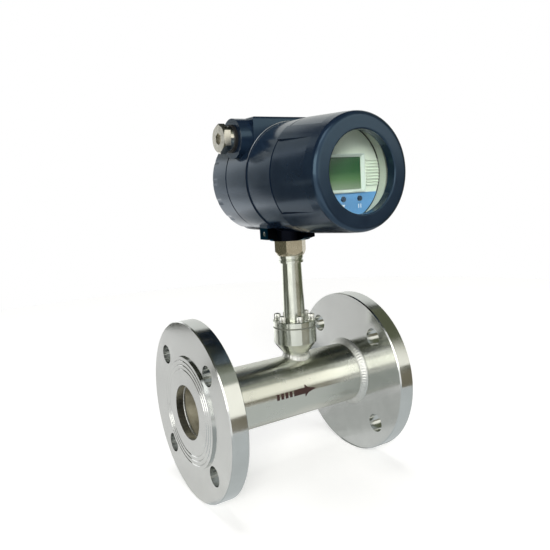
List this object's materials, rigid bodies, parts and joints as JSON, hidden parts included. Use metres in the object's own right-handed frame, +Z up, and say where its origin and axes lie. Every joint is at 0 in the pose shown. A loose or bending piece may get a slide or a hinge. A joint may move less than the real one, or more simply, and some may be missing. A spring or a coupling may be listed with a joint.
{
  "type": "thermal mass flow meter",
  "caption": "Inline thermal mass flow meter: flanged steel pipe spool with a probe on a neck that carries a round swivelling display head with screw-on covers.",
  "frame": {"origin": "centre of the inlet flange's raised sealing face, on the axis of the flow tube", "axes": "+X along the tube with the flow, +Z up along the probe's neck, the display looks towards -Y"},
  "size_m": [0.2, 0.1945, 0.3418],
  "materials": {
    "flange_steel": "machined stainless steel, satin faces and bright rims",
    "tube_steel": "polished stainless steel tube",
    "turned_steel": "turned stainless steel",
    "adapter_steel": "stainless steel, satin",
    "weld_metal": "stainless weld bead, brushed",
    "sensor_steel": "drawn stainless steel",
    "screw_steel": "stainless steel fasteners",
    "plug_nickel": "nickel plated brass",
    "housing_paint": "die-cast aluminium with a semi-gloss slate blue coat",
    "seal_rubber": "moulded rubber",
    "window_glass": "toughened glass",
    "panel_plastic": "moulded ivory plastic",
    "module_plastic": "moulded black plastic",
    "lcd_glass": "green reflective liquid crystal cell",
    "lcd_frame": "grey moulded frame",
    "label_film": "printed blue film",
    "key_rubber": "moulded silicone keys",
    "circuit_board": "glass epoxy board",
    "pillar_brass": "turned brass",
    "terminal_plastic": "moulded green plastic",
    "lead_insulation": "insulated leads",
    "potting": "cast epoxy"
  },
  "bodies": {
    "spool": {"inlet_flange": "flange_steel", "outlet_flange": "flange_steel", "flow_tube": "tube_steel", "inlet_weld": "weld_metal", "outlet_weld": "weld_metal", "bowl_weld": "weld_metal", "sensor_bowl": "turned_steel", "cap_gasket": "seal_rubber", "probe_cap": "turned_steel", "cap_screws": "screw_steel", "neck_tube": "turned_steel", "neck_collar": "turned_steel", "hex_adapter": "adapter_steel", "probe_holder": "turned_steel", "sensor_guard": "turned_steel", "heated_sensor": "sensor_steel", "reference_sensor": "sensor_steel", "lead_bundle": "lead_insulation", "lead_seal": "potting"},
    "head": {"housing_body": "housing_paint", "set_screw": "screw_steel", "rear_standoffs": "pillar_brass", "power_board": "circuit_board", "front_standoffs": "pillar_brass", "main_board": "circuit_board", "display_standoffs": "pillar_brass", "display_plate": "panel_plastic", "display_bezel": "panel_plastic", "lcd_module": "module_plastic", "lcd_glass": "lcd_glass", "lcd_frame": "lcd_frame", "keypad_label": "label_film", "key_switches": "module_plastic", "terminal_block": "terminal_plastic", "terminal_screws": "screw_steel", "entry_plug": "plug_nickel", "plug_washer": "seal_rubber"},
    "front_seal": {"front_seal": "seal_rubber"},
    "front_cover": {"front_cover": "housing_paint", "window_gasket": "seal_rubber", "window_glass": "window_glass", "glass_retainer": "housing_paint"},
    "rear_seal": {"rear_seal": "seal_rubber"},
    "rear_cover": {"rear_cover": "housing_paint"},
    "key_left": {"key_left": "key_rubber"},
    "key_middle": {"key_middle": "key_rubber"},
    "key_right": {"key_right": "key_rubber"}
  },
  "joints": [
    {"name": "head_swivel", "type": "hinge", "parent": "spool", "child": "head", "pos_m": [0.12, 0, 0.145], "axis": [0, 0, 1], "range_deg": [-175, 175]},
    {"name": "front_cover_travel", "type": "slide", "parent": "head", "child": "front_seal", "axis": [0, -1, 0], "range_m": [0, 0.0121]},
    {"name": "front_cover_turn", "type": "hinge", "parent": "front_seal", "child": "front_cover", "pos_m": [0.12, 0, 0.2037], "axis": [0, -1, 0], "range_deg": [0, 2160]},
    {"name": "rear_cover_travel", "type": "slide", "parent": "head", "child": "rear_seal", "axis": [0, 1, 0], "range_m": [0, 0.0101]},
    {"name": "rear_cover_turn", "type": "hinge", "parent": "rear_seal", "child": "rear_cover", "pos_m": [0.12, 0, 0.2037], "axis": [0, 1, 0], "range_deg": [0, 1800]},
    {"name": "key_left_press", "type": "slide", "parent": "head", "child": "key_left", "axis": [0, 1, 0], "range_m": [0, 0.0008], "stiffness_N_per_m": 800},
    {"name": "key_middle_press", "type": "slide", "parent": "head", "child": "key_middle", "axis": [0, 1, 0], "range_m": [0, 0.0008], "stiffness_N_per_m": 800},
    {"name": "key_right_press", "type": "slide", "parent": "head", "child": "key_right", "axis": [0, 1, 0], "range_m": [0, 0.0008], "stiffness_N_per_m": 800}
  ],
  "couplings": [
    {"joint": "front_cover_travel", "follows": "front_cover_turn", "m_per_rad": 0.0003183},
    {"joint": "rear_cover_travel", "follows": "rear_cover_turn", "m_per_rad": 0.0003183}
  ]
}
